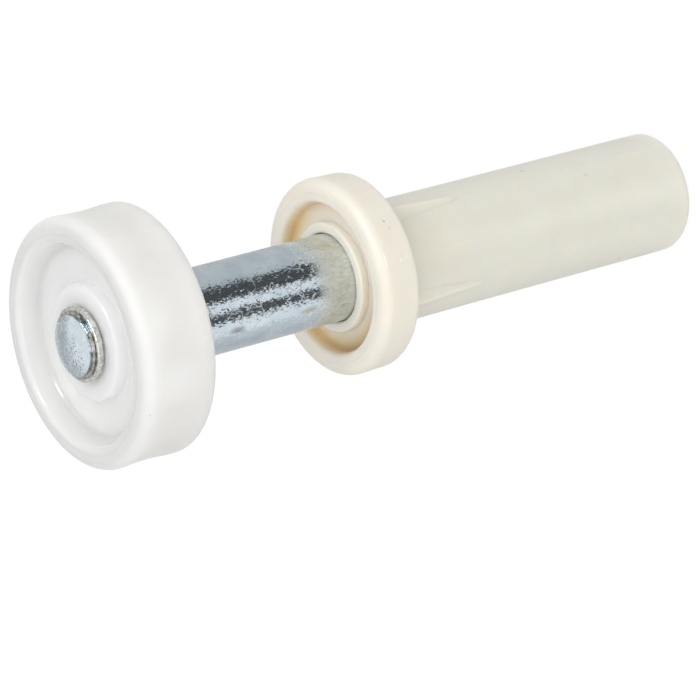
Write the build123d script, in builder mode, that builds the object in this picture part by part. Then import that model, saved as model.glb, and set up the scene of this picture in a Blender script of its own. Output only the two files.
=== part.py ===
from build123d import *
import os

# Spring-loaded guide wheel for a bifold door. The sleeve is pressed into a hole in the
# top edge of the door, the steel pin slides in it on a spring, and the nylon wheel turns
# on the pin's upper end and runs in the overhead track.
# Millimetres, +Z along the axis from the sleeve to the wheel. The origin is on the axis
# in the flange's underside, the face that seats on the door's edge.
# The pin is drawn at the outer end of its travel, as the spring holds it.

os.makedirs("parts", exist_ok=True)

# Sleeve, one nylon moulding
barrel_diameter = 11.1125
barrel_length = 34.0
barrel_end_round = 0.9
barrel_floor = 1.6
barrel_root_swell = 0.05
barrel_root_length = 10.0
flange_diameter = 18.0
flange_thickness = 4.1
flange_draft = 0.15
flange_front_round = 0.95
flange_back_round = 0.7
flange_rim_width = 2.05
recess_draft = 0.25
recess_depth = 1.2
recess_edge_round = 0.45
recess_floor_round = 0.3
bore_ring_diameter = 10.0
bore_ring_height = 0.8
bore_ring_round = 0.2
guide_length = 11.7
guide_entry = 0.15

# Crush ribs under the flange, which grip the hole in the door
rib_count = 4
rib_length = 9.8
rib_height = 1.05
rib_tip_height = 0.35
rib_tip_run = 1.2
rib_flank = 1.1
rib_round = 0.25
rib_root = 0.4

# Guide pin, turned steel
shaft_diameter = 7.94
slide_clearance = 0.10
exposed_length = 19.05
shoulder_chamfer = 0.3
journal_diameter = 5.45
pin_stand_out = 0.65
dome_height = 0.5
groove_depth = 0.28
collar_diameter = 8.8
collar_thickness = 2.0
collar_lead = 0.4
collar_clearance = 0.25
stop_gap = 0.1
spigot_diameter = 5.2
spigot_length = 3.0
spigot_chamfer = 0.4

# Wheel, one nylon moulding
wheel_diameter = 22.225
wheel_width = 7.3
crest_inset = 1.2
tread_waist = 0.13
front_round = 1.05
back_round = 0.65
rim_land_width = 1.6
rim_inner_round = 0.55
dish_depth = 2.0
dish_wall_run = 1.0
dish_floor_round = 0.45
boss_diameter = 10.2
boss_draft = 0.15
boss_drop = 1.05
boss_round = 0.3
wheel_clearance = 0.08
hub_gap = 0.1
bore_chamfer = 0.2

# Washer and retaining ring above the wheel's boss
washer_diameter = 6.64
washer_thickness = 0.6
washer_clearance = 0.06
washer_round = 0.1
ring_diameter = 6.04
ring_thickness = 0.25
ring_gap_angle = 32
ring_clearance = 0.02
ring_edge = 0.06

# Compression spring under the pin's collar
wire_diameter = 0.9
coil_diameter = 7.2
active_turns = 10
coil_gap = 0.03

# Places worked out from the sizes above
barrel_radius = barrel_diameter / 2
barrel_end = -barrel_length
chamber_floor = barrel_end + barrel_floor
guide_radius = shaft_diameter / 2 + slide_clearance
recess_diameter = flange_diameter - 2 * flange_rim_width
bore_ring_top = flange_thickness - recess_depth + bore_ring_height
guide_bottom = bore_ring_top - guide_length
chamber_radius = collar_diameter / 2 + collar_clearance
collar_top = guide_bottom - stop_gap
collar_bottom = collar_top - collar_thickness
wheel_back = flange_thickness + exposed_length
wheel_front = wheel_back + wheel_width
rim_land_diameter = wheel_diameter - 2 * rim_land_width
dish_floor_diameter = rim_land_diameter - 2 * dish_wall_run
boss_face = wheel_front - boss_drop
shoulder = wheel_back - hub_gap
washer_bottom = boss_face + hub_gap
washer_top = washer_bottom + washer_thickness
ring_bottom = washer_top + ring_clearance
ring_top = ring_bottom + ring_thickness
groove_top = ring_top + ring_clearance
journal_radius = journal_diameter / 2
groove_radius = journal_radius - groove_depth
pin_top = wheel_front + pin_stand_out


def round_corner(profile, radius_out, height, size):
    """Round the corner of a half section that lies nearest to a radius and a height."""
    fillet(profile.vertices().sort_by_distance((radius_out, height))[0], size)


def cut_corner(profile, radius_out, height, size):
    """Chamfer the corner of a half section that lies nearest to a radius and a height."""
    chamfer(profile.vertices().sort_by_distance((radius_out, height))[0], size)


# One crush rib, in the plane of the axis and +X: a wedge with a rounded crest that runs down
# from the flange and fades into the barrel. Its flanks keep one slope, rib_flank wide for 1 tall.
with BuildPart() as rib:
    for level, height in (
        (rib_root, rib_height),
        (rib_tip_run - rib_length, rib_tip_height),
        (-rib_length, 0),
    ):
        with BuildSketch(Plane.XY.offset(level)):
            half_width = rib_flank * (rib_root + height)
            Polygon(
                (barrel_radius - rib_root, -half_width),
                (barrel_radius + height, 0),
                (barrel_radius - rib_root, half_width),
                align=None,
            )
    loft(ruled=True)
    crest = rib.edges().filter_by(lambda e: abs(e.center().Y) < rib_root / 100)
    fillet(crest.filter_by(lambda e: e.length > rib_tip_run / 2).sort_by(Axis.X)[-2:], rib_round)

# Sleeve: closed barrel that swells a little under the flange, flange with an annular recess,
# raised ring round the guide bore
with BuildPart() as sleeve:
    with BuildSketch(Plane.XZ) as section:
        with BuildLine():
            Polyline(
                (0, barrel_end),
                (barrel_radius, barrel_end),
                (barrel_radius, -barrel_root_length),
                (barrel_radius + barrel_root_swell, 0),
                (flange_diameter / 2 - flange_draft, 0),
                (flange_diameter / 2, flange_thickness),
                (recess_diameter / 2, flange_thickness),
                (recess_diameter / 2 - recess_draft, flange_thickness - recess_depth),
                (bore_ring_diameter / 2, flange_thickness - recess_depth),
                (bore_ring_diameter / 2, bore_ring_top),
                (guide_radius, bore_ring_top),
                (guide_radius, guide_bottom),
                (chamber_radius, guide_bottom),
                (chamber_radius, chamber_floor),
                (0, chamber_floor),
                close=True,
            )
        make_face()
        round_corner(section, barrel_radius, barrel_end, barrel_end_round)
        round_corner(section, flange_diameter / 2, 0, flange_back_round)
        round_corner(section, flange_diameter / 2, flange_thickness, flange_front_round)
        round_corner(section, recess_diameter / 2, flange_thickness, recess_edge_round)
        round_corner(
            section, recess_diameter / 2, flange_thickness - recess_depth, recess_floor_round
        )
        round_corner(section, bore_ring_diameter / 2, bore_ring_top, bore_ring_round)
        cut_corner(section, guide_radius, bore_ring_top, guide_entry)
    revolve(axis=Axis.Z)
    with PolarLocations(0, rib_count):
        add(rib.part)
sleeve.part.label = "sleeve"

# Guide pin: collar that stops under the guide bore, shaft, journal, ring groove, domed end
with BuildPart() as guide_pin:
    with BuildSketch(Plane.XZ) as section:
        with BuildLine():
            Polyline(
                (0, pin_top),
                (0, collar_bottom - spigot_length),
                (spigot_diameter / 2, collar_bottom - spigot_length),
                (spigot_diameter / 2, collar_bottom),
                (collar_diameter / 2, collar_bottom),
                (collar_diameter / 2, collar_top),
                (shaft_diameter / 2, collar_top),
                (shaft_diameter / 2, shoulder),
                (journal_radius, shoulder),
                (journal_radius, washer_top),
                (groove_radius, washer_top),
                (groove_radius, groove_top),
                (journal_radius, groove_top),
                (journal_radius, pin_top - dome_height),
            )
            dome_radius = (journal_radius**2 + dome_height**2) / (2 * dome_height)
            RadiusArc((journal_radius, pin_top - dome_height), (0, pin_top), -dome_radius)
        make_face()
        cut_corner(section, spigot_diameter / 2, collar_bottom - spigot_length, spigot_chamfer)
        cut_corner(section, collar_diameter / 2, collar_bottom, collar_lead)
        cut_corner(section, shaft_diameter / 2, shoulder, shoulder_chamfer)
    revolve(axis=Axis.Z)
guide_pin.part.label = "guide_pin"

# Wheel: waisted tread between two crests, dished front with a hub boss, flat back
with BuildPart() as wheel:
    wheel_radius = wheel_diameter / 2
    bore_radius = journal_radius + wheel_clearance
    with BuildSketch(Plane.XZ) as section:
        with BuildLine():
            Polyline(
                (wheel_radius, wheel_back + crest_inset),
                (wheel_radius, wheel_back),
                (bore_radius, wheel_back),
                (bore_radius, boss_face),
                (boss_diameter / 2, boss_face),
                (boss_diameter / 2 + boss_draft, wheel_front - dish_depth),
                (dish_floor_diameter / 2, wheel_front - dish_depth),
                (rim_land_diameter / 2 - rim_inner_round, wheel_front),
                (wheel_radius, wheel_front),
                (wheel_radius, wheel_front - crest_inset),
            )
            ThreePointArc(
                (wheel_radius, wheel_front - crest_inset),
                (wheel_radius - tread_waist, (wheel_front + wheel_back) / 2),
                (wheel_radius, wheel_back + crest_inset),
            )
        make_face()
        round_corner(section, wheel_radius, wheel_front, front_round)
        round_corner(section, wheel_radius, wheel_back, back_round)
        round_corner(section, rim_land_diameter / 2 - rim_inner_round, wheel_front, rim_inner_round)
        round_corner(section, dish_floor_diameter / 2, wheel_front - dish_depth, dish_floor_round)
        round_corner(section, boss_diameter / 2, boss_face, boss_round)
        cut_corner(section, bore_radius, wheel_back, bore_chamfer)
        cut_corner(section, bore_radius, boss_face, bore_chamfer)
    revolve(axis=Axis.Z)
wheel.part.label = "wheel"

# Washer on the journal, over the wheel's boss
with BuildPart() as washer:
    with BuildSketch(Plane.XY.offset(washer_bottom)):
        Circle(washer_diameter / 2)
        Circle(journal_radius + washer_clearance, mode=Mode.SUBTRACT)
    extrude(amount=washer_thickness)
    outer_edges = washer.edges().filter_by(GeomType.CIRCLE).group_by(SortBy.RADIUS)[-1]
    fillet(outer_edges, washer_round)
washer.part.label = "washer"

# Retaining ring, an open ring snapped into the pin's groove
with BuildPart() as retaining_ring:
    with BuildSketch(Plane.XZ) as section:
        with Locations((groove_radius + ring_clearance, ring_bottom)):
            Rectangle(
                ring_diameter / 2 - groove_radius - ring_clearance,
                ring_thickness,
                align=(Align.MIN, Align.MIN),
            )
        chamfer(section.vertices().group_by(Axis.X)[-1], ring_edge)
    revolve(axis=Axis.Z, revolution_arc=360 - ring_gap_angle)
retaining_ring.part.label = "retaining_ring"

# Spring: one closed turn, the working turns and one closed turn, with ground ends
closed_pitch = wire_diameter + coil_gap
spring_bottom = chamber_floor
spring_top = collar_bottom
working_bottom = spring_bottom + closed_pitch
working_top = spring_top - closed_pitch
turns = [
    (spring_bottom, closed_pitch, closed_pitch),
    (working_bottom, working_top - working_bottom, (working_top - working_bottom) / active_turns),
    (working_top, closed_pitch, closed_pitch),
]
with BuildPart() as spring:
    for start, rise, pitch in turns:
        with BuildLine():
            turn = Helix(pitch, rise, coil_diameter / 2, center=(0, 0, start))
        with BuildSketch(Plane.XZ):
            with Locations((coil_diameter / 2, start)):
                Circle(wire_diameter / 2)
        sweep(path=turn, is_frenet=True)
    split(bisect_by=Plane.XY.offset(spring_bottom), keep=Keep.TOP)
    split(bisect_by=Plane.XY.offset(spring_top), keep=Keep.BOTTOM)
spring.part.label = "spring"

for piece in (sleeve, guide_pin, wheel, washer, retaining_ring, spring):
    export_step(piece.part, f"parts/{piece.part.label}.step")
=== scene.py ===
# %% [markdown]
# # Bifold door guide wheel
# A spring-loaded guide wheel for a folding door: a milky nylon wheel turns on the end of a
# zinc-plated pin, and the pin slides in an ivory nylon sleeve. The pieces come from the packed
# model, at their real size. This script gives each one the finish of the real thing, lays a
# pale floor, sets soft lights and puts the camera where the photographer stood.

import math

import bmesh
import bpy
from mathutils import Matrix, Vector


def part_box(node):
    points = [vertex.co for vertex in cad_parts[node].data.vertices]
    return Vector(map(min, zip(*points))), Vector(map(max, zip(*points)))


MM = 0.001

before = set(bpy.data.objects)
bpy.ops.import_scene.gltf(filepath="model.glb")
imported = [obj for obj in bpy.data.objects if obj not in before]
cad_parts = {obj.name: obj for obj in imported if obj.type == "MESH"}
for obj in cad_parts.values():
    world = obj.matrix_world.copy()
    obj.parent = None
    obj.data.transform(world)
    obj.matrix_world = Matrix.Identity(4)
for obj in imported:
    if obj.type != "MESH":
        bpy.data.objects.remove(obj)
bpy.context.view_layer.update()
for name in sorted(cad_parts):
    low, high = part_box(name)
    wide, tall = (high[0] - low[0]) / MM, (high[2] - low[2]) / MM
    print(f"{name}: {wide:.2f} mm wide, {tall:.2f} mm tall")

# %% [markdown]
# ## Colours, nodes and materials
# A colour picker shows sRGB hex values, but a shader wants linear light, so one function turns
# one into the other. The second adds a shader node with its settings and links in one line.
# The third starts a material whose pattern sizes are in millimetres: the pieces keep their
# place in their meshes, so Object coordinates are real positions, and a Mapping node scales
# metres up to millimetres. The last links a socket to the material's surface.

# %% Colours, nodes and materials


def linear(hex_colour):
    """Linear RGBA of an sRGB hex colour."""
    parts = [int(hex_colour[i : i + 2], 16) / 255 for i in (1, 3, 5)]
    return (*[c / 12.92 if c < 0.04045 else ((c + 0.055) / 1.055) ** 2.4 for c in parts], 1)


def add(material, kind, stops=None, **values):
    """Adds a shader node. Each value is a setting, a number for an input, or a socket to link."""
    made = material.node_tree.nodes.new("ShaderNode" + kind)
    for name, value in values.items():
        if hasattr(made, name):
            setattr(made, name, value)
            continue
        key = int(name[1:]) if name[1:].isdigit() else name.replace("_", " ")
        if isinstance(value, bpy.types.NodeSocket):
            material.node_tree.links.new(value, made.inputs[key])
        else:
            made.inputs[key].default_value = value
    if stops:
        ramp = made.color_ramp.elements
        ramp[0].position, ramp[0].color = stops[0]
        ramp[1].position, ramp[1].color = stops[-1]
        for place, colour in stops[1:-1]:
            ramp.new(place).color = colour
    return made


def finish(name):
    """A new material, its surface shader, and Object coordinates in millimetres."""
    material = bpy.data.materials.new(name)
    material.use_nodes = True
    place = add(material, "TexCoord").outputs["Object"]
    place = add(material, "Mapping", Vector=place, Scale=(1 / MM, 1 / MM, 1 / MM)).outputs[0]
    return material, material.node_tree.nodes["Principled BSDF"], place


def wire(material, output, shader_input):
    """Links a socket to an input of the material's surface shader."""
    surface = material.node_tree.nodes["Principled BSDF"]
    material.node_tree.links.new(output, surface.inputs[shader_input])


print("white is", [round(c, 3) for c in linear("#FFFFFF")])

# %% [markdown]
# ## Distances, masks and mixes
# A finish changes from place to place by masks, which are numbers from 0 to 1. Three helpers
# measure in millimetres: how far a point is from the axis, from another point, and along a
# direction. The others fade a number in over a stretch, multiply and add numbers, give a
# number its tone, and lay one colour over another.

# %% Distances, masks and mixes


def from_axis(material, place):
    """Distance of a point from the Z axis."""
    flat = add(material, "Mapping", Vector=place, Scale=(1, 1, 0)).outputs[0]
    return add(material, "VectorMath", operation="LENGTH", _0=flat).outputs["Value"]


def from_point(material, place, centre):
    """Distance of a point from a centre."""
    return add(material, "VectorMath", operation="DISTANCE", _0=place, _1=centre).outputs["Value"]


def along(material, place, direction):
    """How far a point lies along a direction."""
    far = add(material, "VectorMath", operation="DOT_PRODUCT", _0=place, _1=direction)
    return far.outputs["Value"]


def fade(material, value, over, to):
    """Runs between the two numbers of `to` while the value crosses the stretch `over`."""
    faded = add(material, "MapRange", Value=value, _1=over[0], _2=over[1], _3=to[0], _4=to[1])
    return faded.outputs[0]


def times(material, first, *others):
    """The product of masks."""
    for other in others:
        first = add(material, "Math", operation="MULTIPLY", _0=first, _1=other).outputs[0]
    return first


def plus(material, base, extra, share=1.0):
    """A share of one number on top of another."""
    total = add(material, "Math", operation="MULTIPLY_ADD", _0=extra, _1=share, _2=base)
    return total.outputs[0]


def tones(material, value, *stops):
    """A colour ramp over a value. Each stop is a place from 0 to 1 and a hex colour."""
    stops = [(place, linear(tone)) for place, tone in stops]
    return add(material, "ValToRGB", Fac=value, stops=stops).outputs["Color"]


def blend(material, share, under, over, how="MIX"):
    """Lays one colour, a socket or a hex value, over another by a share from 0 to 1."""
    over = linear(over) if isinstance(over, str) else over
    mixed = add(material, "Mix", data_type="RGBA", blend_type=how, _0=share, _6=under, _7=over)
    return mixed.outputs[2]


helpers = (from_axis, from_point, along, fade, times, plus, tones, blend)
print("helpers:", [helper.__name__ for helper in helpers])

# %% [markdown]
# ## Marks of use
# Small marks make moulded and plated pieces look handled. Each one is a soft-edged ball in
# object space: the distance from a point on the surface, turned into a mask. A long mark
# squeezes the axis first. The mask then tints the colour that is passed in.

# %% Marks


def mark(material, place, colour, tint, centre, radius, tall=1.0, soft=0.5, strength=1.0):
    """Tints a colour socket round a point. The mark is `tall` times as high as it is wide."""
    squeezed = add(material, "Mapping", Vector=place, Scale=(1, 1, 1 / tall)).outputs[0]
    far = from_point(material, squeezed, (centre[0], centre[1], centre[2] / tall))
    mask = fade(material, far, over=(radius * (1 - soft), radius), to=(strength, 0.0))
    return blend(material, mask, colour, tint)


print("helper:", mark.__name__)

# %% [markdown]
# ## Milky nylon for the wheel
# The wheel is injection-moulded natural nylon (polyamide 6). Undyed nylon is milky: light goes
# a few millimetres into it and comes out elsewhere, which blurs every shadow in the dish.
# Subsurface scattering does that, and a plain white diffuse colour can't. Cloudy patches about
# 4 mm wide come from how the melt cooled. Painted light and shade by distance from the axis make
# it whiter round the pin, against the shade there, and greyer on the brightly lit rim. Four specks
# are burnt grains, and on the tread three pale patches are painted highlights of a soft box.

# %% Wheel nylon: colour
WHEEL_REACH = 11.2  # millimetres from the axis, just past the tread

milky_nylon, skin, place = finish("milky_nylon")
clouds = add(milky_nylon, "TexNoise", Vector=place, Scale=0.22, Detail=2.0, Roughness=0.5)
cloudy = tones(milky_nylon, clouds.outputs[0], (0.35, "#F8F8F8"), (0.65, "#FCFCFB"))
reach = from_axis(milky_nylon, place)
reach = fade(milky_nylon, reach, over=(0.0, WHEEL_REACH), to=(0.0, 1.0))
# Painted light and shade: whiter round the pin against its shade, greyer on the brightly lit rim
painted_light_by_radius = tones(
    milky_nylon,
    reach,
    (0.42, "#FFFFFF"),
    (0.53, "#F3F3F3"),
    (0.7, "#EFEFEF"),
    (0.8, "#E4E4E4"),
    (0.86, "#DADADA"),
    (0.93, "#DCDCDB"),
    (1.0, "#F1F0EE"),
)
colour = blend(milky_nylon, 1.0, cloudy, painted_light_by_radius, how="MULTIPLY")
# Place and radius in millimetres, tint, and strength
for centre, radius, tint, strength in (
    ((0.58, -10.98, 29.8), 0.15, "#B5B2A8", 0.6),
    ((-3.0, -7.4, 30.4), 0.09, "#B5B2A8", 0.7),
    ((-9.6, 5.3, 27.0), 0.14, "#B5B2A8", 0.8),
    ((4.0, 10.2, 26.1), 0.1, "#B5B2A8", 0.8),
    # Three pale patches on the tread: painted highlights of a soft box
    ((7.9, -7.7, 28.4), 2.4, "#FFFFFF", 0.2),
    ((2.85, -10.6, 27.0), 2.6, "#FFFFFF", 0.3),
    ((-7.0, -8.6, 27.5), 2.4, "#FFFFFF", 0.3),
):
    colour = mark(milky_nylon, place, colour, tint, centre, radius, soft=0.9, strength=strength)
wire(milky_nylon, colour, "Base Color")
print("wheel nylon coloured:", len(milky_nylon.node_tree.nodes), "nodes")

# %% [markdown]
# The moulded skin is smooth and glossy in the dish and on the boss. The track has scuffed the
# rim and the tread, so a lamp's reflection spreads there into a soft line. A faint ripple keeps
# the reflections from being perfectly smooth, as on any moulding that shrank as it cooled.

# %% Wheel nylon: skin
NYLON_IOR = 1.53

skin.inputs["IOR"].default_value = NYLON_IOR
scuffed = fade(milky_nylon, reach, over=(0.84, 0.95), to=(0.12, 0.6))
wire(milky_nylon, scuffed, "Roughness")
skin.inputs["Subsurface Weight"].default_value = 1.0
skin.inputs["Subsurface Radius"].default_value = (1.0, 0.98, 0.95)
skin.inputs["Subsurface Scale"].default_value = 4.2 * MM
ripple = add(milky_nylon, "TexNoise", Vector=place, Scale=0.9, Detail=2.0).outputs[0]
bump = add(milky_nylon, "Bump", Height=ripple, Strength=0.25, Distance=0.03 * MM)
wire(milky_nylon, bump.outputs["Normal"], "Normal")
print("wheel nylon ready:", len(milky_nylon.node_tree.nodes), "nodes")

# %% [markdown]
# ## Ivory nylon for the sleeve
# The sleeve is a cheaper grade, ivory rather than white. Its barrel is painted a shade greyer
# towards the flange, painted shade where the flange shades it. Old grease has crept from the pin
# into the outer corner of the recess and turned it tan, and the tan is painted stronger on the
# side away from the lamps as painted shade. A darker brown on the low side is a painted shadow.

# %% Sleeve nylon: colour, grease and painted shade
ACROSS_RECESS = (5.2, 6.5)  # millimetres from the axis, over the recess's floor
OUTER_RIM = (7.6, 8.0)  # from there outwards the flange stays clean
UNDER_RECESS = (1.5, 2.5)  # heights: nothing below the recess is greasy
UP_THE_WALL = (3.0, 4.0)  # the grease thins out up the recess's wall

ivory_nylon, skin, place = finish("ivory_nylon")
clouds = add(ivory_nylon, "TexNoise", Vector=place, Scale=0.3, Detail=3.0)
cloudy = tones(ivory_nylon, clouds.outputs[0], (0.3, "#EEE9DE"), (0.7, "#F1ECE2"))
height = add(ivory_nylon, "SeparateXYZ", Vector=place).outputs["Z"]
# Painted shade and light: greyer on the barrel below the flange, which shades it, whiter on the
# flange
painted_light_and_shade_by_height = tones(
    ivory_nylon,
    fade(ivory_nylon, height, over=(-34.0, 4.0), to=(0.0, 1.0)),
    (0.0, "#FEFFFF"),
    (0.12, "#FAFCFB"),
    (0.7, "#F8FAF9"),
    (0.85, "#F3F5F4"),
    (0.91, "#FFFFFF"),
)
colour = blend(ivory_nylon, 1.0, cloudy, painted_light_and_shade_by_height, how="MULTIPLY")
reach = from_axis(ivory_nylon, place)
recess = times(
    ivory_nylon,
    fade(ivory_nylon, reach, over=ACROSS_RECESS, to=(0.15, 1.0)),
    fade(ivory_nylon, reach, over=OUTER_RIM, to=(1.0, 0.0)),
    fade(ivory_nylon, height, over=UP_THE_WALL, to=(1.0, 0.0)),
    fade(ivory_nylon, height, over=UNDER_RECESS, to=(0.0, 1.0)),
)
lit_side = along(ivory_nylon, place, (0.95, -0.31, 0))
low_side = along(ivory_nylon, place, (-0.34, -0.94, 0))
# Painted shade: the grease's tan is painted stronger on the side away from the lamps
grease_and_painted_shade = fade(ivory_nylon, lit_side, over=(-1.0, 5.0), to=(0.9, 0.3))
# Painted shadow: a darker brown on the low side of the recess, where its wall shades the floor
painted_shadow_low_side = fade(ivory_nylon, low_side, over=(2.5, 6.5), to=(0.0, 0.6))
colour = blend(ivory_nylon, times(ivory_nylon, recess, grease_and_painted_shade), colour, "#EACD8E")
colour = blend(ivory_nylon, times(ivory_nylon, recess, painted_shadow_low_side), colour, "#AE9262")
print("sleeve nylon coloured:", len(ivory_nylon.node_tree.nodes), "nodes")

# %% [markdown]
# The flange and the barrel carry a few pits and scuffs, a pale rub on the flange's edge and
# the round scar of the moulding gate. Two white lines on the flange's edge are painted highlights
# of raised scuffs. The two halves of the mould meet in a thin parting line along the barrel,
# which handling has rubbed away towards the far end.

# %% Sleeve nylon: marks and parting line
# Place and radius in millimetres, tint, and height over width
for centre, radius, tint, tall in (
    ((8.26, -3.47, 1.95), 0.15, "#D0C9B8", 1.0),
    ((7.93, -4.17, 1.72), 0.12, "#DAD4C5", 1.0),
    ((5.38, 1.39, -17.8), 0.2, "#D9D4C6", 1.4),
    ((5.40, -1.29, -23.2), 0.2, "#E2DDD0", 1.4),
    ((-5.2, 2.1, -14.0), 0.16, "#C6C0B0", 1.0),
    ((-2.4, -5.0, -26.5), 0.15, "#C6C0B0", 1.0),
    # Two white scuff lines on the flange's edge: painted highlights
    ((6.38, -6.29, 3.33), 0.7, "#FFFFFF", 0.1),
    ((7.4, -5.1, 3.1), 0.3, "#FFFFFF", 0.15),
    ((6.38, -6.29, 1.33), 0.5, "#F3EFE6", 1.0),
    ((6.42, -6.25, 1.5), 0.42, "#EEE9DD", 1.0),
    ((6.1, -6.55, 1.75), 0.24, "#FCFAF4", 0.3),
):
    colour = mark(ivory_nylon, place, colour, tint, centre, radius, tall, soft=0.3)
across = along(ivory_nylon, place, (0.702, 0.712, 0.0))
across = add(ivory_nylon, "Math", operation="ABSOLUTE", _0=across).outputs[0]
seam = times(
    ivory_nylon,
    fade(ivory_nylon, across, over=(0.03, 0.1), to=(1.0, 0.0)),
    fade(ivory_nylon, height, over=(-15.0, -7.0), to=(0.0, 0.4)),
    fade(ivory_nylon, height, over=(-0.4, -0.1), to=(1.0, 0.0)),
)
colour = blend(ivory_nylon, seam, colour, "#E1DED2")
wire(ivory_nylon, colour, "Base Color")
print("sleeve nylon marked:", len(ivory_nylon.node_tree.nodes), "nodes")

# %% [markdown]
# Light that goes into the sleeve comes out warmer, because the nylon keeps more of the blue.
# The recess is glossy with grease, the flange's rim is scuffed, and the barrel is duller.

# %% Sleeve nylon: skin
skin.inputs["IOR"].default_value = NYLON_IOR
rim = fade(ivory_nylon, reach, over=(7.6, 9.0), to=(0.22, 0.5))
barrel = fade(ivory_nylon, height, over=(0.0, 1.0), to=(0.16, 0.0))
wire(ivory_nylon, plus(ivory_nylon, rim, barrel), "Roughness")
skin.inputs["Subsurface Weight"].default_value = 0.9
skin.inputs["Subsurface Radius"].default_value = (1.0, 0.8, 0.5)
skin.inputs["Subsurface Scale"].default_value = 1.4 * MM
print("sleeve nylon ready:", len(ivory_nylon.node_tree.nodes), "nodes")

# %% [markdown]
# ## Zinc plate for the pin
# The pin is turned steel with a thin bright coat of zinc and a blue passivation. Its tint
# drifts over a few millimetres, and four stains have dried on the shaft.

# %% Pin plating: tint and stains
zinc_plate, _, place = finish("zinc_plate")
height = add(zinc_plate, "SeparateXYZ", Vector=place).outputs["Z"]
tint = add(zinc_plate, "TexNoise", Vector=place, Scale=0.5, Detail=3.0).outputs[0]
colour = tones(zinc_plate, tint, (0.35, "#C3D1DA"), (0.65, "#D6E0E6"))
# Place and radius in millimetres, height over width, colour, and strength
for centre, radius, tall, stain, strength in (
    ((0.55, -3.93, 16.2), 0.42, 2.6, "#84847F", 0.7),
    ((0.60, -3.92, 8.5), 0.4, 3.0, "#A08F6E", 0.6),
    ((3.97, 0.0, 4.9), 0.9, 1.6, "#B5A98C", 0.45),
    ((-3.6, 1.6, 12.0), 0.5, 2.5, "#8B8B87", 0.5),
):
    colour = mark(zinc_plate, place, colour, stain, centre, radius, tall, 0.7, strength)
print("zinc plate tinted:", len(zinc_plate.node_tree.nodes), "nodes")

# %% [markdown]
# A film of grease dulls the first millimetres above the bore, and its cream colour is partly a
# painted reflection of the flange's ivory face. It ends in a ragged edge and is mottled at the
# size of the zinc's crystals. The cut end of the pin is pitted, one side more than the other,
# because the zinc grew on sawn steel. The film isn't metal, so where it lies the plate mirrors
# less.

# %% Pin plating: grease film with painted reflection, and pits
FILM_EDGE = (6.8, 8.5)  # heights, and the 0.8 mm that the ragged edge adds on average
CUT_END = (30.5, 30.7)  # heights at which the domed end begins
PITTED_SPOT = (-0.7, -1.0, 31.2)

drawn_out = add(zinc_plate, "Mapping", Vector=place, Scale=(1, 1, 0.45)).outputs[0]
flecks = add(zinc_plate, "TexNoise", Vector=drawn_out, Scale=4.0, Detail=4.0, Roughness=0.7)
flecks = flecks.outputs[0]
ragged = plus(zinc_plate, height, flecks, share=1.6)
grease_and_painted_reflection = times(
    zinc_plate,
    fade(zinc_plate, ragged, over=FILM_EDGE, to=(0.6, 0.0)),
    fade(zinc_plate, flecks, over=(0.38, 0.62), to=(0.72, 1.02)),
)
# The film's cream tones are partly a painted reflection of the flange's ivory face
painted_reflection_tones = tones(zinc_plate, flecks, (0.38, "#BDB48F"), (0.6, "#DEDFD2"))
colour = blend(zinc_plate, grease_and_painted_reflection, colour, painted_reflection_tones)
sand = add(zinc_plate, "TexNoise", Vector=place, Scale=4.6, Detail=2.0, Roughness=0.6)
from_spot = from_point(zinc_plate, place, PITTED_SPOT)
pits = times(
    zinc_plate,
    fade(zinc_plate, sand.outputs[0], over=(0.36, 0.44), to=(1.0, 0.0)),
    fade(zinc_plate, height, over=CUT_END, to=(0.0, 1.0)),
    fade(zinc_plate, from_spot, over=(1.0, 2.3), to=(1.0, 0.15)),
)
wire(zinc_plate, blend(zinc_plate, pits, colour, "#8F969A"), "Base Color")
bare = add(zinc_plate, "Math", operation="SUBTRACT", _0=1.0, _1=grease_and_painted_reflection).outputs[0]
wire(zinc_plate, bare, "Metallic")
print("zinc plate coloured:", len(zinc_plate.node_tree.nodes), "nodes")

# %% [markdown]
# The coat mirrors the room with crisp edges, but its crystals are a few tenths of a
# millimetre long, drawn out along the axis, and each one tilts the mirror by a few degrees:
# the dark bands break into bright flecks. Hair scratches cross it in patches.

# %% Pin plating: scratches and crystals
web = add(zinc_plate, "TexVoronoi", feature="DISTANCE_TO_EDGE", Vector=place, Scale=0.5)
hairs = times(
    zinc_plate,
    fade(zinc_plate, web.outputs[0], over=(0.01, 0.025), to=(1.0, 0.0)),
    fade(zinc_plate, tint, over=(0.5, 0.56), to=(0.0, 0.5)),
)
rough = fade(zinc_plate, flecks, over=(0.35, 0.7), to=(0.05, 0.2))
rough = plus(zinc_plate, rough, hairs)
rough = plus(zinc_plate, rough, grease_and_painted_reflection, share=0.6)
wire(zinc_plate, rough, "Roughness")
relief = plus(zinc_plate, flecks, pits, share=-1.5)
bump = add(zinc_plate, "Bump", Height=relief, Strength=0.5, Distance=0.02 * MM).outputs["Normal"]
crystals = add(zinc_plate, "TexVoronoi", Vector=drawn_out, Scale=11.0).outputs["Color"]
middle = (0.5, 0.5, 0.5)
lean = add(zinc_plate, "VectorMath", operation="SUBTRACT", _0=crystals, _1=middle).outputs[0]
tilt = times(
    zinc_plate,
    fade(zinc_plate, grease_and_painted_reflection, over=(0.0, 0.3), to=(1.0, 0.12)),
    fade(zinc_plate, flecks, over=(0.42, 0.7), to=(0.06, 0.46)),
)
lean = add(zinc_plate, "VectorMath", operation="SCALE", _0=lean, Scale=tilt).outputs[0]
facets = add(zinc_plate, "VectorMath", operation="ADD", _0=bump, _1=lean).outputs[0]
facets = add(zinc_plate, "VectorMath", operation="NORMALIZE", _0=facets).outputs[0]
wire(zinc_plate, facets, "Normal")
print("zinc plate ready:", len(zinc_plate.node_tree.nodes), "nodes")
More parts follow.
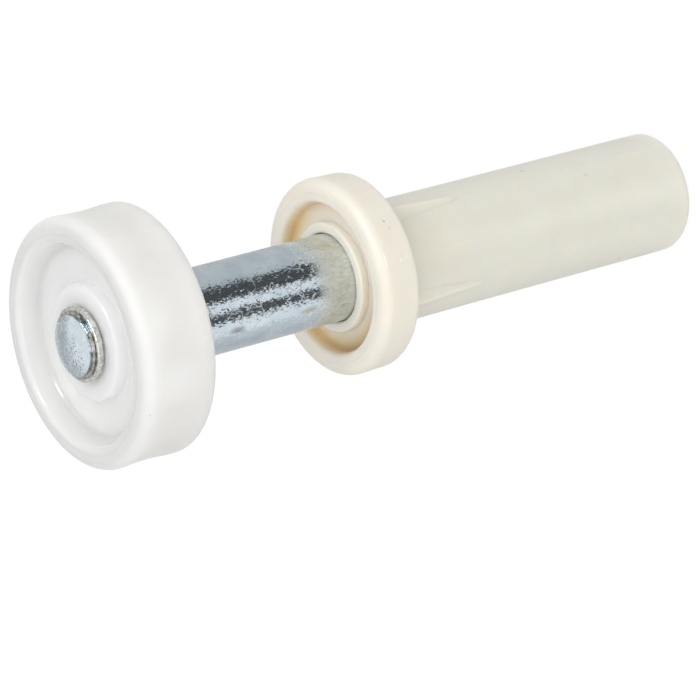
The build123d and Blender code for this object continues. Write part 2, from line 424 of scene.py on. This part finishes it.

# %% [markdown]
# ## Plain steels
# The washer is stamped from strip, the ring is cut from wire, and the spring is drawn wire
# with a dull oil film. Each has a darker and a lighter tone and a range of roughness. The ring's
# tones are darker still, painted shade of the groove it sits in.

# %% Washer, ring and spring
steels = {}
for name, dark, light, roughness in (
    ("washer_steel", "#BDBDB6", "#E8E8E3", (0.2, 0.34)),
    # The ring's darker tones are painted shade of the groove it sits in
    ("ring_steel", "#8F8F88", "#CCCBC5", (0.1, 0.22)),
    ("spring_steel", "#6E6D69", "#8F8E89", (0.3, 0.5)),
):
    steel, skin, place = finish(name)
    skin.inputs["Metallic"].default_value = 1.0
    mottle = add(steel, "TexNoise", Vector=place, Scale=2.5, Detail=3.0).outputs[0]
    wire(steel, tones(steel, mottle, (0.35, dark), (0.65, light)), "Base Color")
    wire(steel, fade(steel, mottle, over=(0.0, 1.0), to=roughness), "Roughness")
    bump = add(steel, "Bump", Height=mottle, Strength=0.4, Distance=0.02 * MM)
    wire(steel, bump.outputs["Normal"], "Normal")
    steels[name] = steel
print("steels ready:", sorted(steels))

# %% Dress the pieces
finishes = {
    "wheel": milky_nylon,
    "guide_pin": zinc_plate,
    "washer": steels["washer_steel"],
    "retaining_ring": steels["ring_steel"],
    "sleeve": ivory_nylon,
    "spring": steels["spring_steel"],
}
for name, material in finishes.items():
    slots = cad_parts[name].data.materials
    slots.clear()
    slots.append(material)
print("dressed:", sorted(finishes))

# %% [markdown]
# ## Camera
# The camera's place, aim and roll come from fitting circles to the wheel, the flange and the
# sleeve in the photo. The guide stands upright in its own frame, and the rolled camera lays it
# across the picture, wheel to the left.

# %% Camera
CAMERA_PLACE = (212.12, -219.66, 202.97)  # millimetres
LOOK = (-0.5946, 0.5894, -0.5469)
PICTURE_UP = (0.7827, 0.5800, -0.2258)
SENSOR_WIDTH, FOCAL_LENGTH = 36, 211.7

camera_data = bpy.data.cameras.new("product_camera")
camera_data.sensor_width = SENSOR_WIDTH
camera_data.lens = FOCAL_LENGTH
camera_data.clip_start, camera_data.clip_end = 0.01, 20
camera = bpy.data.objects.new("product_camera", camera_data)
bpy.context.scene.collection.objects.link(camera)
bpy.context.scene.camera = camera
look = Vector(LOOK).normalized()
right = look.cross(Vector(PICTURE_UP)).normalized()
camera.location = Vector(CAMERA_PLACE) * MM
camera.rotation_mode = "QUATERNION"
camera.rotation_quaternion = Matrix((right, right.cross(look), -look)).transposed().to_quaternion()
print("camera stands", round(camera.location.length, 3), "m from the flange")

# %% [markdown]
# ## Floor and room
# The guide stands on a pale floor under a white room. Both show pure white to the camera and
# in mirrors, through Light Path, while the light that they give the nylon stays at a plain
# level. The floor keeps a part of its real shade, and so the shadow.

# %% Floor
FLOOR_REACH = 2.0  # metres each way
FLOOR_GAP = 0.02 * MM
GLOW_SHARE, GLOW = 0.86, 1.08

bpy.context.scene.view_settings.view_transform = "Standard"
floor_paint = bpy.data.materials.new("pale_floor")
floor_paint.use_nodes = True
floor_shader = floor_paint.node_tree.nodes["Principled BSDF"]
floor_shader.inputs["Base Color"].default_value = linear("#D6D6D4")
floor_shader.inputs["Roughness"].default_value = 0.9
floor_shader.inputs["Specular IOR Level"].default_value = 0.1
seen = add(floor_paint, "LightPath").outputs
share = seen["Is Camera Ray"]
for ray in ("Is Glossy Ray", "Is Transmission Ray"):
    share = add(floor_paint, "Math", operation="MAXIMUM", _0=share, _1=seen[ray]).outputs[0]
share = times(floor_paint, share, GLOW_SHARE)
glow = add(floor_paint, "Emission", Color=(1, 1, 1, 1), Strength=GLOW).outputs[0]
both = add(floor_paint, "MixShader", _0=share, _1=floor_shader.outputs[0], _2=glow)
floor_paint.node_tree.links.new(
    both.outputs[0], floor_paint.node_tree.nodes["Material Output"].inputs["Surface"]
)
sheet = bmesh.new()
bmesh.ops.create_grid(sheet, x_segments=1, y_segments=1, size=FLOOR_REACH)
bmesh.ops.translate(sheet, verts=sheet.verts, vec=(0, 0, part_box("sleeve")[0][2] - FLOOR_GAP))
floor_mesh = bpy.data.meshes.new("floor")
sheet.to_mesh(floor_mesh)
sheet.free()
floor = bpy.data.objects.new("floor", floor_mesh)
floor_mesh.materials.append(floor_paint)
bpy.context.scene.collection.objects.link(floor)
print("floor at", round(floor_mesh.vertices[0].co.z / MM, 2), "mm")

# %% [markdown]
# The room's light is stronger on the side of the lamps, so the nylon's round forms shade
# softly from one side to the other. Mirrors see a bright ceiling above grey walls.

# %% Room
BRIGHT_SIDE = (0.72, -0.6, 0.35)
ROOM_LIGHT = (0.44, 1.12)  # from the dim side to the bright one
WALL_TOP = (0.47, 0.55)  # how steeply up a mirror looks where the ceiling begins
WALL_AND_CEILING = (0.54, 0.98)

room = bpy.data.worlds.new("white_room")
bpy.context.scene.world = room
room.use_nodes = True
backdrop = room.node_tree.nodes["Background"]
seen = add(room, "LightPath").outputs
way = add(room, "TexCoord").outputs["Generated"]
diffuse = fade(room, along(room, way, BRIGHT_SIDE), over=(-1.0, 1.0), to=ROOM_LIGHT)
up = add(room, "SeparateXYZ", Vector=way).outputs["Z"]
shiny = fade(room, up, over=WALL_TOP, to=WALL_AND_CEILING)
level = add(room, "Mix", _0=seen["Is Glossy Ray"], _2=diffuse, _3=shiny).outputs[0]
level = add(room, "Mix", _0=seen["Is Camera Ray"], _2=level, _3=1.0).outputs[0]
room.node_tree.links.new(level, backdrop.inputs["Strength"])
backdrop.inputs["Color"].default_value = (1, 1, 1, 1)
print("room light from", ROOM_LIGHT[0], "to", ROOM_LIGHT[1])

# %% [markdown]
# ## Ring of cards
# A shiny pin shows what stands round it, and a white room alone would leave it flat. So grey
# and black cards stand in a ring, as a photographer's flags do. Only mirrors see them. One
# spun bowl does for all of them, and a ramp round the axis gives each card its shade.

# %% Shades of the cards
CARD_EDGE = 1e-3  # degrees, so that two neighbours don't share a place on the ramp

card_paper = bpy.data.materials.new("card_paper")
card_paper.use_nodes = True
around = add(card_paper, "TexCoord").outputs["Object"]
around = add(card_paper, "TexGradient", gradient_type="RADIAL", Vector=around)


def turn_place(azimuth):
    """Where a view azimuth in degrees falls on the radial ramp, from 0 to 1."""
    return ((azimuth - 90) / 360 + 0.5) % 1.0


cards = []
for start, end, grey in (
    (-180, -60, 0.62),
    (-60, -36, 0.72),
    (-32, 0, 0.98),
    (3, 27, 0.1),
    (30, 52, 0.98),
    (55, 92, 0.09),
    (99, 180, 0.64),
):
    cards += [(turn_place(start + CARD_EDGE), grey), (turn_place(end - CARD_EDGE), grey)]
cards.sort()
shades = add(
    card_paper,
    "ValToRGB",
    Fac=around.outputs["Fac"],
    stops=[(place, (grey, grey, grey, 1)) for place, grey in cards],
)
paper = add(card_paper, "Emission", Color=shades.outputs["Color"], Strength=1.0)
card_paper.node_tree.links.new(
    paper.outputs[0], card_paper.node_tree.nodes["Material Output"].inputs["Surface"]
)
print("cards:", len(cards) // 2)

# %% Bowl that carries the cards
BOWL_PROFILE = ((7, 0, -33.9), (150, 0, -33.9), (230, 0, -10), (300, 0, 60))  # millimetres
BOWL_STEPS = 72

bowl = bmesh.new()
rim = [bowl.verts.new(Vector(corner) * MM) for corner in BOWL_PROFILE]
edges = [bowl.edges.new(pair) for pair in zip(rim, rim[1:])]
bmesh.ops.spin(
    bowl,
    geom=rim + edges,
    axis=(0, 0, 1),
    cent=(0, 0, 0),
    angle=math.tau,
    steps=BOWL_STEPS,
    use_merge=True,
)
bowl_mesh = bpy.data.meshes.new("ring_of_cards")
bowl.to_mesh(bowl_mesh)
bowl.free()
ring_of_cards = bpy.data.objects.new("ring_of_cards", bowl_mesh)
bowl_mesh.materials.append(card_paper)
bpy.context.scene.collection.objects.link(ring_of_cards)
ring_of_cards.visible_camera = False
ring_of_cards.visible_diffuse = False
ring_of_cards.visible_transmission = False
ring_of_cards.visible_shadow = False
print("bowl faces:", len(bowl_mesh.polygons))

# %% [markdown]
# ## Lights
# Three lamps stand for two soft boxes. The key box, to the upper left of the picture, lights
# the nylon. The gleam card hangs just before it and only mirrors see it: its reflection draws
# the thin bright lines on the rounded edges. The fill box is large and stands beside the
# camera.

# %% Lights


def soft_box(name, side, distance, size, radiance):
    """An area light that faces the guide. Its radiance is in units of white paper."""
    a, e = [math.radians(angle) for angle in side]
    out = Vector((math.sin(a) * math.cos(e), -math.cos(a) * math.cos(e), math.sin(e)))
    data = bpy.data.lights.new(name, "AREA")
    data.shape = "RECTANGLE"
    data.size, data.size_y = size
    data.energy = radiance * math.pi * size[0] * size[1]
    lamp = bpy.data.objects.new(name, data)
    lamp.location = out * distance
    lamp.rotation_mode = "QUATERNION"
    lamp.rotation_quaternion = (-out).to_track_quat("-Z", "Y")
    lamp.visible_camera = False
    bpy.context.scene.collection.objects.link(lamp)
    return lamp


KEY_SIDE, FILL_SIDE = (100, 50), (25, 30)  # azimuth and elevation in degrees

key_box = soft_box("key_box", KEY_SIDE, distance=0.6, size=(0.15, 0.15), radiance=5.0)
gleam_card = soft_box("gleam_card", KEY_SIDE, distance=0.55, size=(0.13, 0.13), radiance=30.0)
gleam_card.visible_diffuse = False
fill_box = soft_box("fill_box", FILL_SIDE, distance=0.8, size=(0.45, 0.4), radiance=1.35)
print("lights:", [lamp.name for lamp in (key_box, gleam_card, fill_box)])
